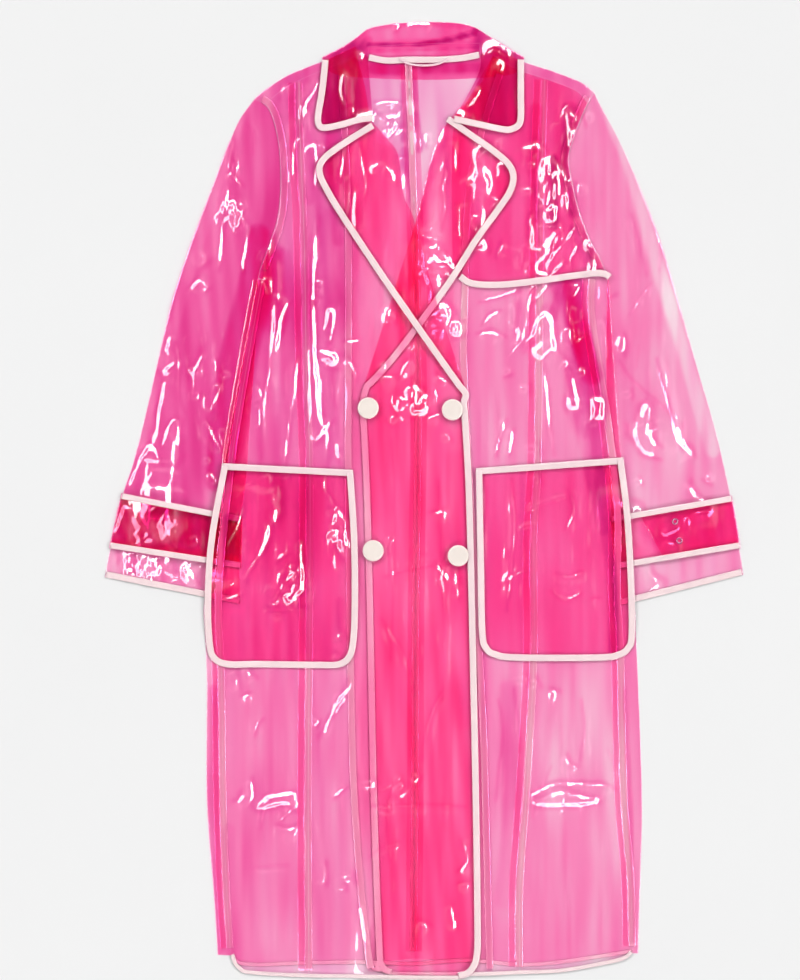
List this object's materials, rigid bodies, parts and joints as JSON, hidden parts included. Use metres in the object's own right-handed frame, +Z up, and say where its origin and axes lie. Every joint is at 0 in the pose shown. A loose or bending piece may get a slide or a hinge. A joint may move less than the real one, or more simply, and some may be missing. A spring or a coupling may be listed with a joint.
{
  "type": "raincoat",
  "caption": "Double-breasted trench raincoat in clear pink vinyl film with pale bound edges, laid flat and buttoned, front up",
  "frame": {"origin": "centre of the bounding box in plan, on the surface that the coat lies on", "axes": "+X to the wearer's left, +Y from hem to collar, +Z up from the surface, out of the coat's front"},
  "size_m": [0.766, 1.148, 0.0156],
  "materials": {
    "clear_vinyl_film": "clear pink vinyl film, polished, 0.3 mm thick in reality",
    "clear_vinyl_double": "the same clear pink vinyl film, two plies",
    "vinyl_binding": "pale pink vinyl binding, satin",
    "vinyl_tape": "translucent seam tape, welded",
    "eyelet_metal": "small plated eyelet",
    "covered_button": "pale shank button, smooth"
  },
  "bodies": {
    "root": {"back_right": "clear_vinyl_film", "back_left": "clear_vinyl_film", "front_centre_right": "clear_vinyl_film", "front_centre_left": "clear_vinyl_film", "front_side_right": "clear_vinyl_film", "front_side_left": "clear_vinyl_film", "facing_right": "clear_vinyl_film", "facing_left": "clear_vinyl_film", "lapel_right": "clear_vinyl_film", "lapel_left": "clear_vinyl_film", "collar": "clear_vinyl_film", "collar_stand": "clear_vinyl_film", "gun_flap": "clear_vinyl_film", "sleeve_right": "clear_vinyl_film", "sleeve_left": "clear_vinyl_film", "pocket_right": "clear_vinyl_film", "pocket_left": "clear_vinyl_film", "cuff_strap_right": "clear_vinyl_double", "cuff_strap_left": "clear_vinyl_double", "cuff_tab_right": "clear_vinyl_double", "cuff_tab_left": "clear_vinyl_double", "pocket_mouth_binding_right": "vinyl_binding", "pocket_mouth_binding_left": "vinyl_binding", "pocket_edge_binding_right": "vinyl_binding", "pocket_edge_binding_left": "vinyl_binding", "front_edge_binding_right": "vinyl_binding", "front_edge_binding_left": "vinyl_binding", "collar_binding_right": "vinyl_binding", "collar_binding_left": "vinyl_binding", "gun_flap_binding": "vinyl_binding", "cuff_upper_binding_right": "vinyl_binding", "cuff_upper_binding_left": "vinyl_binding", "cuff_lower_binding_right": "vinyl_binding", "cuff_lower_binding_left": "vinyl_binding", "sleeve_hem_binding_right": "vinyl_binding", "sleeve_hem_binding_left": "vinyl_binding", "front_hem_binding_right": "vinyl_binding", "front_hem_binding_left": "vinyl_binding", "back_hem_binding": "vinyl_binding", "neck_binding": "vinyl_binding", "hanger_loop": "vinyl_binding", "centre_back_tape": "vinyl_tape", "side_tape_right": "vinyl_tape", "side_tape_left": "vinyl_tape", "princess_tape_right": "vinyl_tape", "princess_tape_left": "vinyl_tape", "facing_tape_right": "vinyl_tape", "facing_tape_left": "vinyl_tape", "armhole_tape_right": "vinyl_tape", "armhole_tape_left": "vinyl_tape", "eyelet_upper": "eyelet_metal", "eyelet_lower": "eyelet_metal", "button_1": "covered_button", "button_2": "covered_button", "button_3": "covered_button", "button_4": "covered_button"}
  },
  "joints": []
}
